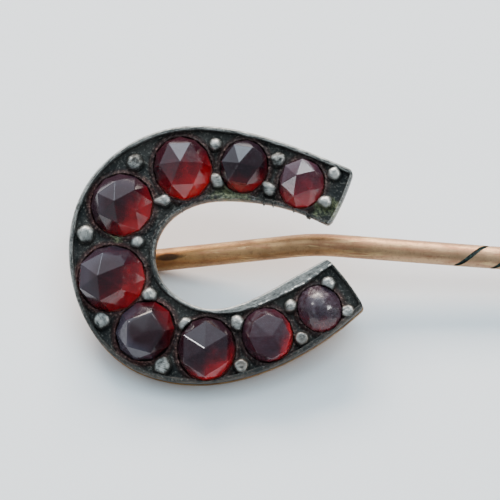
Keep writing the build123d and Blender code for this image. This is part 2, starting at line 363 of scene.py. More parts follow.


# Materials

# Silver: the plate's greyer patches, crumbs, crust round the stones, greenish dirt,
# the browner tone on the lower arm, and the foil at the bottom of the seats, painted bright on
# the stones' glowing side as a painted glow.
GREY_PLATE = (0.029, 0.028, 0.024)
CRUMB = (0.15, 0.14, 0.12)
DARK_CRUST = (0.050, 0.006, 0.008)
PALE_CRUST = (0.22, 0.09, 0.07)
DARK_MOSS = (0.035, 0.042, 0.024)
PALE_MOSS = (0.21, 0.22, 0.12)
LOWER_ARM_BROWN = (0.17, 0.13, 0.10)
DARK_FOIL = (0.035, 0.03, 0.03)
FOIL_PAINTED_GLOW = (0.85, 0.30, 0.25)

# Gold: duller patches near the head and along the stem, specks, streaks left by the
# drawing of the wire, the dark streak at the toe and the residue in the groove.
DULL_NEAR_HEAD = (0.35, 0.185, 0.075)
DULL_ALONG_STEM = (0.37, 0.215, 0.12)
BROWN_SPECK = (0.24, 0.13, 0.07)
RED_STREAK = (0.33, 0.125, 0.070)
BRIGHT_STREAK = (0.80, 0.56, 0.27)
TOE_DARK_STREAK = (0.035, 0.030, 0.022)
DARK_VERDIGRIS = (0.012, 0.020, 0.017)
VERDIGRIS = (0.05, 0.12, 0.10)

# Garnet: the dark body, and the red painted on the thin flanks of the glowing side, a painted
# glow standing in for light coming through them.
DARK_WINE = (0.010, 0.002, 0.005)
FLANK_PAINTED_GLOW = (0.17, 0.004, 0.009)

# The middle of the dark streak on the stem where it leaves the toe, in the head's own frame.
DARK_STREAK_ALONG = 5.1
DARK_STREAK_ACROSS = 0.33

# Unevenness in the finishes: size in metres, detail and roughness. Scratches alone are
# sized in millimetres, because they follow the band.
Texture = namedtuple("Texture", "size detail rough")
SILVER_FINE = Texture(0.00012, 5, 0.65)
SILVER_BROAD = Texture(0.0011, 3, 0.5)
CRUMBS = Texture(0.00013, 2, 0.6)
SCRATCHES = Texture(0.075, 3, 0.6)
GOLD_FINE = Texture(0.00018, 4, 0.6)
GOLD_BROAD = Texture(0.0016, 4, 0.6)
RED_STREAKS = Texture(0.00032, 3, 0.6)
BRIGHT_STREAKS = Texture(0.00024, 3, 0.6)
GARNET_FINE = Texture(0.00022, 4, 0.6)
GARNET_CLOUDS = Texture(0.0007, 3, 0.5)

# How deep the finest relief is, in metres, and how strongly it shows.
SILVER_GRIT = (0.00003, 0.6)
GOLD_GRIT = (0.00002, 0.5)

# How a garnet takes the light: how it bends it, how much of it goes in, how strong the
# mirror on its skin is, and the tint and the density of the stone inside.
GARNET_BEND = 1.76
GARNET_CLEARNESS = 0.45
GARNET_MIRROR = 0.24
INNER_RED = (0.84, 0.05, 0.20, 1)
INNER_DENSITY = 1500


def new_material(name):
    """Material with its nodes and its shader."""
    mat = bpy.data.materials.new(name)
    mat.use_nodes = True
    return mat, mat.node_tree, mat.node_tree.nodes["Principled BSDF"]


class Nodes:
    """Short calls for adding and joining shader nodes."""

    def __init__(self, tree):
        self.tree = tree

    def add(self, kind, *links, **facts):
        node = self.tree.nodes.new(kind)
        for key, value in facts.items():
            setattr(node, key, value)
        for slot, value in enumerate(links):
            self.feed(value, node.inputs[slot])
        return node

    def feed(self, value, socket):
        if value is None:
            return
        if isinstance(value, bpy.types.NodeSocket):
            self.tree.links.new(value, socket)
        else:
            socket.default_value = value

    def vector(self, what, a, b=None):
        b = tuple(b) if isinstance(b, Vector) else b
        return self.add("ShaderNodeVectorMath", a, b, operation=what)

    def math(self, what, a, b, c=None):
        return self.add("ShaderNodeMath", a, b, c, operation=what).outputs[0]

    def uneven(self, noise, strength, value):
        """The value, pushed up and down by a noise around its middle."""
        return self.math("MULTIPLY_ADD", self.math("SUBTRACT", noise, 0.5), strength, value)

    def level(self, value, low, high, out_low=0.0, out_high=1.0):
        """Goes from out_low to out_high as the value goes from low to high."""
        node = self.add("ShaderNodeMapRange", value, low, high, out_low, out_high)
        node.clamp = True
        return node.outputs[0]

    def noise(self, where, texture):
        node = self.add("ShaderNodeTexNoise", where)
        node.inputs["Scale"].default_value = 1 / texture.size
        node.inputs["Detail"].default_value = texture.detail
        node.inputs["Roughness"].default_value = texture.rough
        return node.outputs[0]

    def mix(self, share, a, b):
        node = self.add("ShaderNodeMix", data_type="RGBA")
        for socket, value in ((0, share), (6, a), (7, b)):
            if not isinstance(value, (bpy.types.NodeSocket, float, int)):
                value = (*value, 1)
            self.feed(value, node.inputs[socket])
        return node.outputs[2]

    def mask(self, name):
        return self.add("ShaderNodeAttribute", attribute_name=name).outputs["Fac"]

    def place(self):
        return self.add("ShaderNodeTexCoord").outputs["Object"]

    def bump(self, height, depth, strength):
        node = self.add("ShaderNodeBump")
        node.inputs["Strength"].default_value = strength
        node.inputs["Distance"].default_value = depth
        self.feed(height, node.inputs["Height"])
        return node.outputs[0]

    def group(self, tree, values):
        node = self.add("ShaderNodeGroup", node_tree=tree)
        for name, value in values.items():
            self.feed(value, node.inputs[name])
        return node.outputs


def shared_group(name, takes, gives, build):
    """The shader node group of that name, built the first time it is asked for."""
    tree = bpy.data.node_groups.get(name)
    if tree:
        return tree
    tree = bpy.data.node_groups.new(name, "ShaderNodeTree")
    for way, sockets in (("INPUT", takes), ("OUTPUT", gives)):
        for socket, kind in sockets.items():
            tree.interface.new_socket(name=socket, in_out=way, socket_type="NodeSocket" + kind)
    n = Nodes(tree)
    made = build(n, n.add("NodeGroupInput").outputs)
    end = n.add("NodeGroupOutput")
    for socket, value in made.items():
        n.feed(value, end.inputs[socket])
    return tree


def two_grains(n, where, fine, broad):
    """Fine and broad unevenness of a finish, from the group that all of them share."""
    takes = {"Place": "Vector"}
    for name in ("Fine", "Broad"):
        takes.update({name + " " + part: "Float" for part in ("Scale", "Detail", "Roughness")})

    def build(n, given):
        made = {}
        for name in ("Fine", "Broad"):
            node = n.add("ShaderNodeTexNoise", given["Place"])
            for part in ("Scale", "Detail", "Roughness"):
                n.feed(given[name + " " + part], node.inputs[part])
            made[name] = node.outputs[0]
        return made

    tree = shared_group("uneven grain", takes, {"Fine": "Float", "Broad": "Float"}, build)
    values = {"Place": where}
    for name, texture in (("Fine", fine), ("Broad", broad)):
        values[name + " Scale"] = 1 / texture.size
        values[name + " Detail"] = texture.detail
        values[name + " Roughness"] = texture.rough
    out = n.group(tree, values)
    return out["Fine"], out["Broad"]


def silver_material(look):
    """Silver, bare where it is rubbed and sulphide black where it isn't."""
    mat, tree, bsdf = new_material("old silver")
    n = Nodes(tree)
    where = n.place()
    wear, seat, brown, crust = (n.mask(k) for k in ("wear", "seat", "brown", "crust"))
    moss, gap, run = (n.mask(k) for k in ("moss", "gap", "run"))
    fine, broad = two_grains(n, where, SILVER_FINE, SILVER_BROAD)
    crumbs = n.noise(where, CRUMBS)

    # Scratches run along the band: the pattern follows the distance from the edge and
    # the depth, and is ten times longer than it is wide.
    apart = n.vector("SUBTRACT", where, HEAD).outputs[0]
    depth = n.vector("DOT_PRODUCT", apart, OUT / MM).outputs["Value"]
    from_edge, stretched = n.math("ADD", gap, depth), n.math("MULTIPLY", run, 0.1)
    lengthwise = n.add("ShaderNodeCombineXYZ", from_edge, stretched).outputs[0]
    streak = n.noise(lengthwise, SCRATCHES)

    lined = n.math("MULTIPLY", n.level(wear, 0.15, 0.35), 1.1)
    ragged = n.uneven(fine, 0.75, wear)
    ragged = n.uneven(broad, 0.35, ragged)
    ragged = n.uneven(streak, lined, ragged)
    bare = n.level(ragged, 0.20, 0.80)

    dark = n.mix(n.level(broad, 0.4, 0.6), look.black, GREY_PLATE)
    dark = n.mix(n.level(crumbs, 0.565, 0.68, 0, 0.8), dark, CRUMB)
    red = n.mix(n.level(crumbs, 0.50, 0.66), DARK_CRUST, PALE_CRUST)
    dark = n.mix(n.math("MULTIPLY", crust, n.level(broad, 0.3, 0.7, 0.3, 1)), dark, red)
    green = n.mix(n.level(crumbs, 0.4, 0.62), DARK_MOSS, PALE_MOSS)
    dark = n.mix(moss, dark, green)
    bright = n.mix(brown, look.bare, LOWER_ARM_BROWN)
    bright = n.mix(n.level(wear, 0.85, 1.2), bright, look.polished)
    colour = n.mix(bare, dark, bright)

    # The foil colour carries a painted glow, bright on the stones' glowing side.
    foil = n.mix(n.level(seat, 0.15, 1.0), DARK_FOIL, FOIL_PAINTED_GLOW)
    is_foil = n.math("GREATER_THAN", seat, 0.1)
    n.feed(n.mix(is_foil, colour, foil), bsdf.inputs["Base Color"])
    metal = n.math("MAXIMUM", n.level(bare, 0, 1, 0.35, 0.9), is_foil)
    n.feed(metal, bsdf.inputs["Metallic"])
    rough = n.uneven(fine, 0.2, n.level(bare, 0, 1, 0.6, 0.38))
    n.feed(rough, bsdf.inputs["Roughness"])
    height = n.math("ADD", n.math("ADD", fine, streak), crumbs)
    n.feed(n.bump(height, *SILVER_GRIT), bsdf.inputs["Normal"])
    return mat


def gold_material(look):
    """Rose gold, browner near the head, with green-black tarnish in the grooves."""
    mat, tree, bsdf = new_material("old rose gold")
    n = Nodes(tree)
    where = n.place()
    fine, broad = two_grains(n, where, GOLD_FINE, GOLD_BROAD)
    away = n.add("ShaderNodeSeparateXYZ", where).outputs[0]
    pale = n.level(away, BROWN_END, PALE_START)
    clean = n.mix(pale, look.near_head, look.along_stem)
    dull = n.mix(pale, DULL_NEAR_HEAD, DULL_ALONG_STEM)
    colour = n.mix(n.level(broad, 0.36, 0.60), dull, clean)
    colour = n.mix(n.level(fine, 0.52, 0.72, 0, 0.6), colour, BROWN_SPECK)

    # The wire was drawn, so its streaks are eight times longer than they are wide.
    drawn = n.vector("MULTIPLY", where, Vector((0.12, 1.0, 1.0))).outputs[0]
    reddish = n.level(n.noise(drawn, RED_STREAKS), 0.50, 0.66, 0, 0.55)
    colour = n.mix(reddish, colour, RED_STREAK)
    shiny = n.level(n.noise(drawn, BRIGHT_STREAKS), 0.60, 0.72, 0, 0.7)
    colour = n.mix(shiny, colour, BRIGHT_STREAK)

    # The dark streak is long along the stem and narrow across it, with a ragged edge.
    from_toe = n.vector("SUBTRACT", where, head_point(DARK_STREAK_ALONG, DARK_STREAK_ACROSS, 0)).outputs[0]
    ahead = n.vector("DOT_PRODUCT", from_toe, ALONG / MM).outputs["Value"]
    aside = n.vector("DOT_PRODUCT", from_toe, ACROSS / MM).outputs["Value"]
    ahead = n.math("POWER", n.math("MULTIPLY", ahead, 1.1), 2.0)
    aside = n.math("POWER", n.math("MULTIPLY", aside, 6.0), 2.0)
    near = n.uneven(broad, 3.0, n.math("ADD", ahead, aside))
    colour = n.mix(n.level(near, 1.3, 0.5, 0, 0.85), colour, TOE_DARK_STREAK)

    apart = n.vector("SUBTRACT", where, SHANK_MIDDLE).outputs[0]
    cross = n.vector("CROSS_PRODUCT", apart, SHANK_AXIS).outputs[0]
    radius = n.vector("LENGTH", cross).outputs["Value"]
    on_twist = n.math("COMPARE", away, TWIST_MIDDLE, TWIST_REACH)
    groove = n.math("MULTIPLY", n.level(radius, GROOVE_TOP, GROOVE_DEEP), on_twist)
    residue = n.mix(n.level(fine, 0.45, 0.7), DARK_VERDIGRIS, VERDIGRIS)
    n.feed(n.mix(groove, colour, residue), bsdf.inputs["Base Color"])
    n.feed(n.level(groove, 1.0, 0.0, 0.0, 0.8), bsdf.inputs["Metallic"])
    rough = n.level(fine, 0.3, 0.7, 0.40, 0.54)
    rough = n.math("MAXIMUM", rough, n.math("MULTIPLY", groove, 0.7))
    n.feed(rough, bsdf.inputs["Roughness"])
    n.feed(n.bump(n.math("ADD", fine, broad), *GOLD_GRIT), bsdf.inputs["Normal"])
    return mat


def garnet_skin(look):
    """Group for the colour and the dullness of a worn garnet, with a painted glow on one side and
    a painted sheen on the far flank.
    """
    takes = {name: "Vector" for name in ("Place", "Normal", "Middle", "Toward")}
    for name in ("Half Width", "Fine", "Cloud", "Reach", "Glow", "Wine", "Haze", "Veil", "Dull"):
        takes[name] = "Float"

    def build(n, given):
        # lean: how far a point and its facet are turned to the side with the painted glow.
        # ring: how far out from the stone's middle, as a share of its half width.
        apart = n.vector("SUBTRACT", given["Place"], given["Middle"]).outputs[0]
        spot = n.vector("DIVIDE", apart, given["Half Width"]).outputs[0]
        lean = n.vector("DOT_PRODUCT", spot, given["Toward"]).outputs["Value"]
        facing = n.vector("DOT_PRODUCT", given["Normal"], given["Toward"]).outputs["Value"]
        around = n.vector("CROSS_PRODUCT", spot, OUT).outputs[0]
        ring = n.vector("LENGTH", around).outputs["Value"]
        cloud = n.math("SUBTRACT", given["Cloud"], 0.5)
        lean = n.math("MULTIPLY_ADD", facing, 0.55, lean)
        lean = n.math("MULTIPLY_ADD", cloud, 1.1, lean)

        # Painted glow: the side turned towards Toward is painted crimson, standing in for light
        # coming through the stone.
        glow_start = n.math("SUBTRACT", 0.95, given["Reach"])
        glow = n.math("POWER", n.level(lean, glow_start, 1.25), 2.2)
        glow = n.math("MULTIPLY", glow, given["Glow"])
        least_wine = n.math("MULTIPLY", given["Wine"], 0.6)
        wine = n.level(cloud, -0.2, 0.25, least_wine, given["Wine"])
        body = n.mix(wine, DARK_WINE, look.wine)
        # Painted glow on the thin flanks of the glowing side.
        flank = n.math("MULTIPLY", n.level(ring, 0.72, 0.95), n.level(lean, -0.5, 0.6, 0, 0.6))
        body = n.mix(flank, body, FLANK_PAINTED_GLOW)
        colour = n.mix(glow, body, look.glow)

        # The haze is dust on worn facets; towards the far flank a painted sheen, standing in for
        # reflection, adds to it.
        least_haze = n.math("MULTIPLY", given["Haze"], 0.35)
        haze = n.level(given["Fine"], 0.35, 0.72, least_haze, given["Haze"])
        far_side = n.level(lean, 0.5, -0.5, 0, given["Veil"])
        veil = n.math("MULTIPLY", n.level(ring, 0.42, 0.66), far_side)
        haze = n.math("MULTIPLY", n.math("MAXIMUM", haze, veil), 0.55)

        dullest = n.math("MULTIPLY_ADD", given["Dull"], 2.0, 0.05)
        rough = n.level(given["Fine"], 0.40, 0.75, given["Dull"], dullest)
        rough = n.math("MAXIMUM", rough, n.level(ring, 0.62, 0.80, 0, 0.17))
        return {"Colour": n.mix(haze, colour, look.haze_and_sheen), "Roughness": rough}

    return shared_group("garnet skin", takes, {"Colour": "Color", "Roughness": "Float"}, build)


def garnet_material(stone, sizes):
    """Dark wine stone with a painted crimson glow on one side, standing in for light coming
    through it, under a worn, dusty skin.
    """
    mat, tree, bsdf = new_material(stone.name)
    n = Nodes(tree)
    look = LOOKS[stone.name]
    where = n.place()
    fine, cloud = two_grains(n, where, GARNET_FINE, GARNET_CLOUDS)
    turn = math.radians(look.toward)
    values = {
        "Place": where,
        "Normal": n.add("ShaderNodeNewGeometry").outputs["Normal"],
        "Middle": head_point(stone.along, stone.across, 0),
        "Toward": ALONG * math.cos(turn) + ACROSS * math.sin(turn),
        "Half Width": stone.width * MM,
        "Fine": fine,
        "Cloud": cloud,
        "Reach": look.reach,
        "Glow": look.glow,
        "Wine": look.wine,
        "Haze": look.haze,
        "Veil": look.veil,
        "Dull": look.dull,
    }
    skin = n.group(garnet_skin(sizes), values)
    n.feed(skin["Colour"], bsdf.inputs["Base Color"])
    n.feed(skin["Roughness"], bsdf.inputs["Roughness"])
    bsdf.inputs["Metallic"].default_value = 0
    bsdf.inputs["Transmission Weight"].default_value = GARNET_CLEARNESS
    bsdf.inputs["IOR"].default_value = GARNET_BEND
    bsdf.inputs["Specular IOR Level"].default_value = GARNET_MIRROR
    inside = n.add("ShaderNodeVolumeAbsorption", INNER_RED, INNER_DENSITY)
    n.feed(inside.outputs[0], tree.nodes["Material Output"].inputs["Volume"])
    return mat


def put(obj, mat):
    """Makes the material the only one on the object."""
    obj.data.materials.clear()
    obj.data.materials.append(mat)


def add_piece(name, bm, node, mat):
    """Object from the finished bmesh, which takes the place of a node of the frame."""
    mesh = bpy.data.meshes.new(name)
    bm.to_mesh(mesh)
    bm.free()
    obj = bpy.data.objects.new(name, mesh)
    bpy.context.scene.collection.objects.link(obj)
    put(obj, mat)
    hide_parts(node)
    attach(obj, "root")


# Silver setting. All lengths in this section are millimetres.

# Cells along the band and across it.
LONG_CELLS = 720
CROSS_CELLS = 120

# The arms' ends: corner radius, how far they bow out, and over what length.
CORNER = 0.26
END_BOW = 0.10
END_BOW_REACH = 1.2

# The ragged inner edge of the upper arm: how deep it is eaten away, how far spikes of
# dirt stand out over the opening, and between which rows of the band.
EATEN = 0.035
SPIKE = 0.14
RAGGED_ROWS = (0.5, 4.3)

# The rims: how far their edges are worn down and over what width, how far the walls
# beside the plate spread inwards and outwards, and how rubbed the top is.
RIM_WORN = 0.09
RIM_WORN_WIDTH = 0.10
WALL_IN = 0.04
WALL_OUT = 0.03
RIM_WEAR = 0.36

# Grooves along the upper arm's inner rim: radians of their wave in a millimetre, how
# deep they are cut, and between which rows of the band.
GROOVES_WAVE = 55
GROOVES_CUT = 0.018
GROOVED_ROWS = (0.6, 4.2)

# Silver pushed up round each stone: how high, and how far out it and its crust reach.
COLLAR_HEIGHT = 0.28
COLLAR_REACH = 0.42

# Room round a stone in its seat.
SEAT_ROOM = 0.024

# Rings of points down the side walls, and how rubbed the walls are.
WALL_LEVELS = (-0.30, -0.62)
LOWER_INNER_WEAR = 0.85
INNER_WEAR = 0.12
OUTER_WEAR = 0.36

# The grid over the band: where each point lies, its distances to the inner edge, the
# outer edge and the nearer arm's end, the inner rim's width, the row of the band that
# it is at, and how far along the band it is.
Grid = namedtuple("Grid", "spot inside outside end rim rows run")


def edge_lines(rows):
    """Outer and inner edge of the band at the given row numbers."""
    outer, inner = [], []
    for row in BAND:
        turn = math.radians(row.bearing)
        out = np.array((math.cos(turn), math.sin(turn)))
        middle = np.array((row.along, row.across))
        outer.append(middle + out * row.outer)
        inner.append(middle - out * row.inner)
    return smooth_line(outer, rows), smooth_line(inner, rows)


def ragged_edge(x, y, rows):
    """How far the inner edge is moved into the band, or out over the opening if less than 0."""
    eaten = EATEN * np.clip(lumps(x, y, 0.16, 11) + 0.2, 0, 1)
    spikes = SPIKE * ease(lumps(x, y, 0.12, 17), 0.55, 0.9)
    return (eaten - spikes) * (rows > RAGGED_ROWS[0]) * (rows < RAGGED_ROWS[1])


def band_grid(length_share, cross_share):
    """The grid over the band, for shares of its length and of its width."""
    last = len(BAND) - 1
    fine = np.linspace(0, last, 2001)
    outer, inner = edge_lines(fine)
    steps = np.linalg.norm(np.diff((outer + inner) / 2, axis=0), axis=1)
    walked = np.concatenate([[0], np.cumsum(steps)])
    total = walked[-1]
    rows = np.interp(length_share * total, walked, fine)
    outer, inner = edge_lines(rows)
    moved = ragged_edge(inner[:, 0], inner[:, 1], rows)
    width = np.linalg.norm(outer - inner, axis=1)
    inner = inner + (outer - inner) * (moved / width)[:, None]
    width = width - moved

    end = np.minimum(length_share, 1 - length_share) * total
    corner = np.clip(CORNER - end, 0, CORNER)
    inset = CORNER - np.sqrt(CORNER**2 - corner**2)
    share = (inset + cross_share * (width - 2 * inset)) / width
    spot = inner + (outer - inner) * share[:, None]
    bow = END_BOW * (1 - (2 * share - 1) ** 2) * (1 - ease(end, 0, END_BOW_REACH))
    upper_turn, lower_turn = (math.radians(BAND[k].bearing) for k in (0, -1))
    forward = np.where(
        (length_share < 0.5)[:, None],
        np.array((math.sin(upper_turn), -math.cos(upper_turn))),
        np.array((-math.sin(lower_turn), math.cos(lower_turn))),
    )
    spot = spot + forward * bow[:, None]
    rim = np.interp(rows, np.arange(len(BAND)), [row.rim for row in BAND])
    run = length_share * total
    return Grid(spot, width * share, width * (1 - share), end + bow * 0.5, rim, rows, run)


class Skin:
    """The worn silver over the band: its height, and the masks that the material reads.

    The height is 0 at the top of the rims. The masks are wear (how rubbed the silver
    is), seat (how bright the painted glow on the foil under a stone), brown (browner on the lower
    arm), crust and moss.
    """

    def __init__(self, grid, sizes):
        self.grid, self.sizes = grid, sizes
        self.x, self.y = grid.spot[:, 0], grid.spot[:, 1]
        self.upper = self.y > 0
        self.edge = np.minimum(grid.outside, grid.end + 0.08)
        self.rough = self.lumps(0.16, 1) * 0.6 + self.lumps(0.07, 2) * 0.4
        sag = 0.03 * self.lumps(0.8, 3)
        self.recess = sizes.recess / MM
        self.floor = -self.recess + sizes.grit / MM * self.rough + sag
        self.height = self.floor.copy()
        self.wear = np.full(len(self.x), 0.02) + 0.10 * np.clip(self.rough, 0, 1)
        self.seat = np.zeros(len(self.x))
        self.crust = np.zeros(len(self.x))

    def lumps(self, size, seed):
        return lumps(self.x, self.y, size, seed)

    def turned(self, place, bearing):
        """Offsets from a place, ahead on the bearing and to its right."""
        turn = math.radians(bearing)
        dx, dy = self.x - place.along, self.y - place.across
        ahead = dx * math.cos(turn) + dy * math.sin(turn)
        right = dx * math.sin(turn) - dy * math.cos(turn)
        return ahead, right

    def ring(self, stone, room=0.0):
        """Distance from a stone's middle, 1 at its girdle."""
        out, side = self.turned(stone, stone.bearing)
        return np.hypot(out / (stone.width + room), side / (stone.length + room))

    def raise_rim(self, gap, width, carving, shine, bumps=0.0):
        """A rim as wide as width along the edge that is gap away, rubbed to shine."""
        wall = 1 - ease(gap, width - WALL_IN, width + WALL_OUT)
        rounded = -RIM_WORN * (1 - ease(gap, 0, RIM_WORN_WIDTH)) ** 2
        top = rounded + 0.012 * self.lumps(0.22, 6) + carving(wall)
        raised = self.height * (1 - wall) + top * wall
        self.height = np.maximum(self.height, raised) + bumps * wall
        on_edge = 0.24 * (1 - ease(gap, 0.03, 0.14))
        on_shoulder = 0.10 * ease(gap, width - 0.12, width - 0.03)
        shaded = 0.10 * ease(-self.y, -2.5, 0.5)
        lip = RIM_WEAR + on_edge + on_shoulder - shaded + shine
        self.wear = np.maximum(self.wear, wall * lip)

    def rims(self):
        """The outer rim, and the wider inner rim beside the opening."""
        grid = self.grid
        wander = 0.02 * self.lumps(0.5, 4)
        self.raise_rim(self.edge, self.sizes.rim / MM + wander, lambda wall: 0.0, 0.0)

        gap, rows = grid.inside, grid.rows
        ragged = np.where(self.upper, 0.05, 0.015)
        width = grid.rim + wander + ragged * self.lumps(0.18, 5)
        scored = self.upper & (rows > GROOVED_ROWS[0]) & (rows < GROOVED_ROWS[1])
        grooves = np.sin(gap * GROOVES_WAVE + 1.5 * self.lumps(1.4, 7)) * GROOVES_CUT

        def carving(wall):
            dented = np.where(self.upper, 0.03 * self.lumps(0.13, 8) * wall, 0.0)
            return np.where(scored, grooves, 0.0) + dented

        # Dirty on the upper arm, less so at the toe, and rubbed bright on the lower
        # arm, where nicks along the stones' side catch the light. The nicks are also given the
        # near-white polished colour, a painted glint.
        on_lower = ease(rows, 5.0, 6.2) * ease(-self.y, -0.5, 0.8)
        dirty = 0.30 - 0.12 * ease(rows, 3.2, 4.0) + 0.14 * self.lumps(0.2, 12)
        nicks = 1 - ease(np.abs(gap - width + 0.07), 0.0, 0.08)
        nicks = nicks * ease(self.lumps(0.16, 14), -0.3, 0.4) * ease(rows, 7.6, 8.4)
        shine = 0.9 * nicks + 0.22 * on_lower - dirty * (1 - on_lower)
        bumps = 0.08 * nicks * (0.4 + self.lumps(0.09, 15))
        self.raise_rim(gap, width, carving, shine, bumps)

    def collars(self):
        """Silver pushed up round each stone, with red crust on it."""
        for stone in STONES:
            away = (self.ring(stone) - 1) * (stone.width + stone.length) / 2
            collar = COLLAR_HEIGHT * (1 - ease(away, 0.02, COLLAR_REACH))
            collar = collar * (0.85 + 0.25 * self.lumps(0.35, 9))
            self.height = np.maximum(self.height, self.floor + collar + 0.02 * self.rough)
            rubbed = 0.16 * (1 - ease(np.abs(away - 0.12), 0, 0.1))
            self.wear = np.maximum(self.wear, rubbed)
            self.crust = np.maximum(self.crust, 1 - ease(away, 0.08, COLLAR_REACH))

    def grains(self):
        """Worn grains: domed, flattened, cupped or drawn out to a tail."""
        for k, g in enumerate(GRAINS):
            radius = g.radius * self.sizes.grain_growth
            ahead, right = self.turned(g, g.bearing)
            dx, dy = self.x - g.along, self.y - g.across
            around = np.arctan2(dy, dx)
            wobble = 1 + 0.03 * np.sin(3 * around + k) + 0.03 * np.sin(5 * around + 2.1 * k)
            tail = np.clip(ahead, 0, None) / (1 + g.tail / radius)
            narrow = 1 + 1.1 * g.tail * np.clip(ahead, 0, None) / radius
            far = np.hypot(np.where(ahead > 0, tail, ahead), right * narrow) / (radius * wobble)

            bell = 2.0 + 2.2 * g.worn
            dome = np.clip(1 - np.clip(far, 0, 1) ** bell, 0, 1) ** 0.62
            cup = g.cup * (1 - ease(far, 0.25, 0.75)) * 1.3
            tilt = 0.05 * (dx * math.cos(k * 2.4) + dy * math.sin(k * 2.4)) / radius
            dents = 0.012 * self.lumps(0.12, 20 + k)
            rise = -self.recess + (g.top + self.recess + tilt + dents) * dome - cup
            skirt = -self.recess + 0.05 * (1 - ease(far, 1.0, 1.35))
            self.height = np.maximum(self.height, np.where(far < 1, rise, skirt))

            on = 1 - ease(far, 0.55, 1.02)
            shine = on * (g.shine + 0.30 * self.lumps(0.2, 40 + k) - 2.0 * cup)
            rubbed = np.maximum(self.wear * 0.6, shine)
            self.wear = np.where(far < 1.02, rubbed, self.wear)

    def seats(self):
        """Flat seats under the stones, with foil painted bright on the stone's glowing side, a
        painted glow.
        """
        for stone in STONES:
            look = LOOKS[stone.name]
            under = self.ring(stone, SEAT_ROOM) < 1
            lean = self.turned(stone, look.toward)[0] / stone.width + 0.2 * self.lumps(0.5, 31)
            # Painted glow: the foil is made brighter towards the stone's painted glow.
            shine = look.glow * (0.06 + 0.94 * ease(lean, 0.9 - look.reach, 0.9))
            self.height = np.where(under, -self.sizes.seat / MM, self.height)
            self.seat = np.where(under, 0.15 + 0.85 * shine, self.seat)
            self.wear = np.where(under, 0.0, self.wear)

    def dirt(self):
        """Plate browner on the lower arm, rims less rubbed towards the lower side, greenish dirt,
        and crust where nothing rubs.
        """
        low_places = 1 - ease(self.height, -0.02, 0.12)
        self.brown = ease(-self.y, 0.5, 4.5) * low_places * ease(self.grid.inside, 0.7, 1.3)
        lower_rim = ease(-self.y, 0.0, 3.0) * (1 - ease(self.edge, 0.2, 0.5))
        self.wear = self.wear * (1 - 0.3 * lower_rim)
        self.moss = np.zeros(len(self.x))
        for spot in MOSS:
            near = np.hypot(self.x - spot.along, self.y - spot.across) / spot.reach
            grown = 1 - ease(near + 0.4 * self.lumps(0.25, 13), 0.4, 1.1)
            self.moss = np.maximum(self.moss, grown)
        at_toe = 0.6 + 0.4 * ease(-self.x, -9, -2)
        self.crust = self.crust * (1 - ease(self.wear, 0.1, 0.3)) * at_toe


class STICKPIN_OT_silver_setting(bpy.types.Operator):
    """Blackened silver horseshoe with its rim, grains and seats"""

    bl_idname = "stickpin.silver_setting"
    bl_label = "Silver Setting"

    def execute(self, context):
        sizes = context.scene.stickpin_silver
        bm = bmesh.new()
        bmesh.ops.create_grid(bm, x_segments=LONG_CELLS, y_segments=CROSS_CELLS, size=1)
        bm.verts.ensure_lookup_table()
        flat = np.array([v.co for v in bm.verts])
        grid = band_grid((flat[:, 0] + 1) / 2, (flat[:, 1] + 1) / 2)
        skin = Skin(grid, sizes)
        skin.rims()
        skin.collars()
        skin.grains()
        skin.seats()
        skin.dirt()
        for v, p, h in zip(bm.verts, grid.spot, skin.height):
            v.co = (p[0], p[1], h)

        masks = {
            "wear": skin.wear,
            "seat": skin.seat,
            "brown": skin.brown,
            "crust": skin.crust,
            "moss": skin.moss,
            "gap": grid.inside,
            "run": grid.run,
            "inner": grid.inside < 0.001,
        }
        layers = {}
        for name, values in masks.items():
            layer = layers[name] = bm.verts.layers.float.new(name)
            for v, value in zip(bm.verts, values):
                v[layer] = value

        edges = [e for e in bm.edges if e.is_boundary]
        for level in (*WALL_LEVELS, -sizes.thickness / MM):
            made = bmesh.ops.extrude_edge_only(bm, edges=edges)
            edges = [g for g in made["geom"] if isinstance(g, bmesh.types.BMEdge)]
            for v in {v for e in edges for v in e.verts}:
                v.co.z = level
                inner = v[layers["inner"]] > 0.5
                lower = v.co.y < 0 and inner
                wear = LOWER_INNER_WEAR if lower else INNER_WEAR if inner else OUTER_WEAR
                v[layers["wear"]] = wear
                v[layers["brown"]] = 0.0 if lower else v[layers["brown"]]
        edges = [e for e in bm.edges if e.is_boundary]
        bmesh.ops.contextual_create(bm, geom=edges)
        for v in bm.verts:
            v.co = head_point(*v.co)
        bmesh.ops.recalc_face_normals(bm, faces=bm.faces)
        for f in bm.faces:
            f.smooth = True
        add_piece("silver_setting_worn", bm, "silver_setting", silver_material(sizes))
        return {"FINISHED"}


# Garnets

# Edges rubbed wider than this, in millimetres, are rounded, and past the second width
# the whole crown is shaded as a dome.
ROUND_EDGE = 0.03
DOMED_EDGE = 0.10


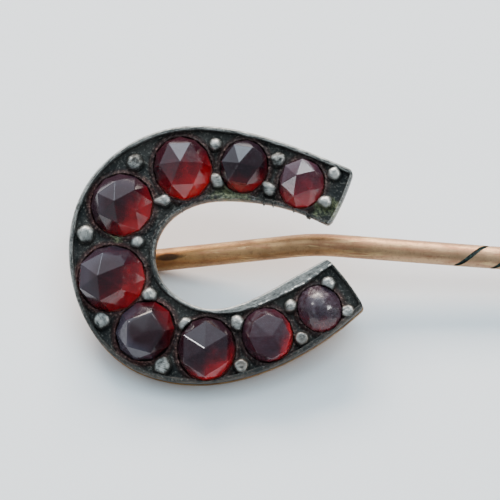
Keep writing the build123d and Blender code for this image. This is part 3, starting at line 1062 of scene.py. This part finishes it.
class STICKPIN_OT_garnets(bpy.types.Operator):
    """Nine rose cut garnets with worn facet edges"""

    bl_idname = "stickpin.garnets"
    bl_label = "Garnets"

    def execute(self, context):
        sizes = context.scene.stickpin_garnets
        for stone in STONES:
            crown_edge = LOOKS[stone.name].edge
            bm = bmesh.new()
            bm.from_mesh(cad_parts[stone.name].data)
            bmesh.ops.remove_doubles(bm, verts=bm.verts, dist=1e-6)
            bmesh.ops.dissolve_limit(
                bm, angle_limit=math.radians(1), verts=bm.verts, edges=bm.edges
            )
            for on_crown, width in ((True, crown_edge), (False, sizes.edge / MM)):
                made = bmesh.ops.bevel(
                    bm,
                    geom=[e for e in bm.edges if self.is_crown(e) == on_crown],
                    offset=width * MM,
                    offset_type="OFFSET",
                    segments=4 if width > ROUND_EDGE else 1,
                    profile=0.5,
                    affect="EDGES",
                    clamp_overlap=True,
                    material=-1,
                )
                for f in made["faces"]:
                    f.smooth = width > ROUND_EDGE
            if crown_edge > DOMED_EDGE:
                for f in bm.faces:
                    f.smooth = all(self.is_crown(e) for e in f.edges)
            bmesh.ops.recalc_face_normals(bm, faces=bm.faces)
            mat = garnet_material(stone, sizes)
            add_piece(stone.name + "_polished", bm, stone.name, mat)
        return {"FINISHED"}

    def is_crown(self, edge):
        return min((v.co - HEAD).dot(OUT) for v in edge.verts) > 0


# Gold


class STICKPIN_OT_gold(bpy.types.Operator):
    """Rose gold back and stem"""

    bl_idname = "stickpin.gold"
    bl_label = "Gold Pin"

    def execute(self, context):
        put(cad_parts["gold_pin_and_back"], gold_material(context.scene.stickpin_gold))
        return {"FINISHED"}


# Stage

FLOOR_COLOUR = (0.87, 0.87, 0.87, 1)
FLOOR_ROUGHNESS = 0.6
SKY_COLOUR = (0.74, 0.89, 1.0, 1)

# The room's strength away from its bright side and towards it, and between which
# cosines of the angle to that side it rises.
DIM_ROOM = 0.34
BRIGHT_ROOM = 2.1
ROOM_TURNS = (0.50, 0.95)

# What the lamps point at, in metres.
LAMPS_AIM = Vector((-0.02, 0, 0))

# The camera: the place on the head at the picture's middle in millimetres, how far it
# stands to the right of the head's own view and below it, and how the picture is turned.
PICTURE_MIDDLE = (9.683, 0.087, 0)
LENS_RIGHT = 4
LENS_BELOW = 7
PICTURE_TURN = -4
SENSOR = 36


class STICKPIN_OT_stage(bpy.types.Operator):
    """Floor, lights and camera"""

    bl_idname = "stickpin.stage"
    bl_label = "Stage"

    def execute(self, context):
        sizes = context.scene.stickpin_stage
        self.floor(context, sizes)
        self.room(context, sizes)
        for row in LAMPS:
            lamp = self.lamp(row.name, row.place, row.size, row.power, row.colour)
            lamp.visible_glossy = row.mirrored
        for row in PANES:
            turn, rise = math.radians(row.bearing), math.radians(row.height)
            flat = math.cos(rise)
            way = Vector((math.sin(turn) * flat, math.cos(turn) * flat, math.sin(rise)))
            pane = self.lamp(row.name, way * PANE_DISTANCE, row.size, row.power, (1.0, 1.0, 1.0))
            pane.visible_diffuse = False
        self.camera(context, sizes)
        return {"FINISHED"}

    def floor(self, context, sizes):
        bm = bmesh.new()
        bmesh.ops.create_grid(bm, x_segments=1, y_segments=1, size=sizes.floor)
        mesh = bpy.data.meshes.new("floor")
        bm.to_mesh(mesh)
        bm.free()
        floor = bpy.data.objects.new("floor", mesh)
        context.scene.collection.objects.link(floor)
        mat, _, bsdf = new_material("pale floor")
        bsdf.inputs["Base Color"].default_value = FLOOR_COLOUR
        bsdf.inputs["Roughness"].default_value = FLOOR_ROUGHNESS
        put(floor, mat)

    def room(self, context, sizes):
        world = bpy.data.worlds.new("studio")
        context.scene.world = world
        world.use_nodes = True
        n = Nodes(world.node_tree)
        back = world.node_tree.nodes["Background"]
        back.inputs[0].default_value = SKY_COLOUR
        way = n.add("ShaderNodeTexCoord").outputs["Generated"]
        toward = n.vector("DOT_PRODUCT", way, Vector(sizes.bright_side)).outputs["Value"]
        n.feed(n.level(toward, *ROOM_TURNS, DIM_ROOM, BRIGHT_ROOM), back.inputs[1])

    def lamp(self, name, place, size, power, colour):
        light = bpy.data.lights.new(name, "AREA")
        light.shape = "RECTANGLE"
        light.size, light.size_y = size
        light.energy = power
        light.color = colour
        obj = bpy.data.objects.new(name, light)
        obj.location = place
        obj.rotation_mode = "QUATERNION"
        aim = LAMPS_AIM - Vector(place)
        obj.rotation_quaternion = aim.to_track_quat("-Z", "Y")
        bpy.context.scene.collection.objects.link(obj)
        return obj

    def camera(self, context, sizes):
        cam = bpy.data.cameras.new("camera")
        cam.sensor_width = SENSOR
        cam.lens = SENSOR * sizes.distance / sizes.view_width
        cam.clip_start = 0.01
        obj = bpy.data.objects.new("camera", cam)
        right_of, below = (math.tan(math.radians(turn)) for turn in (LENS_RIGHT, LENS_BELOW))
        to_lens = OUT + ALONG * right_of - ACROSS * below
        to_lens.normalize()
        flat = (ALONG - to_lens * ALONG.dot(to_lens)).normalized()
        right = Matrix.Rotation(math.radians(PICTURE_TURN), 3, to_lens) @ flat
        turn = Matrix((right, to_lens.cross(right), to_lens)).transposed()
        place = head_point(*PICTURE_MIDDLE) + to_lens * sizes.distance
        obj.matrix_world = Matrix.Translation(place) @ turn.to_4x4()
        context.scene.collection.objects.link(obj)
        context.scene.camera = obj


STEPS = [
    STICKPIN_OT_silver_setting,
    STICKPIN_OT_garnets,
    STICKPIN_OT_gold,
    STICKPIN_OT_stage,
]


class STICKPIN_PT_sidebar(bpy.types.Panel):
    """Builds the stick pin piece by piece"""

    bl_label = "Stick Pin"
    bl_idname = "STICKPIN_PT_sidebar"
    bl_space_type = "VIEW_3D"
    bl_region_type = "UI"
    bl_category = "Stick Pin"

    def draw(self, context):
        for step in STEPS:
            self.layout.operator(step.bl_idname)


GROUPS = {
    "stickpin_silver": SilverSizes,
    "stickpin_garnets": GarnetSizes,
    "stickpin_gold": GoldSizes,
    "stickpin_stage": StageSizes,
}
CLASSES = list(GROUPS.values()) + STEPS + [STICKPIN_PT_sidebar]


def register():
    for cls in CLASSES:
        bpy.utils.register_class(cls)
    for name, group in GROUPS.items():
        setattr(bpy.types.Scene, name, PointerProperty(type=group))


def unregister():
    for name in GROUPS:
        delattr(bpy.types.Scene, name)
    for cls in reversed(CLASSES):
        bpy.utils.unregister_class(cls)


def main():
    register()
    bpy.ops.stickpin.silver_setting()
    bpy.ops.stickpin.garnets()
    bpy.ops.stickpin.gold()
    bpy.ops.stickpin.stage()


if __name__ == "__main__":
    main()
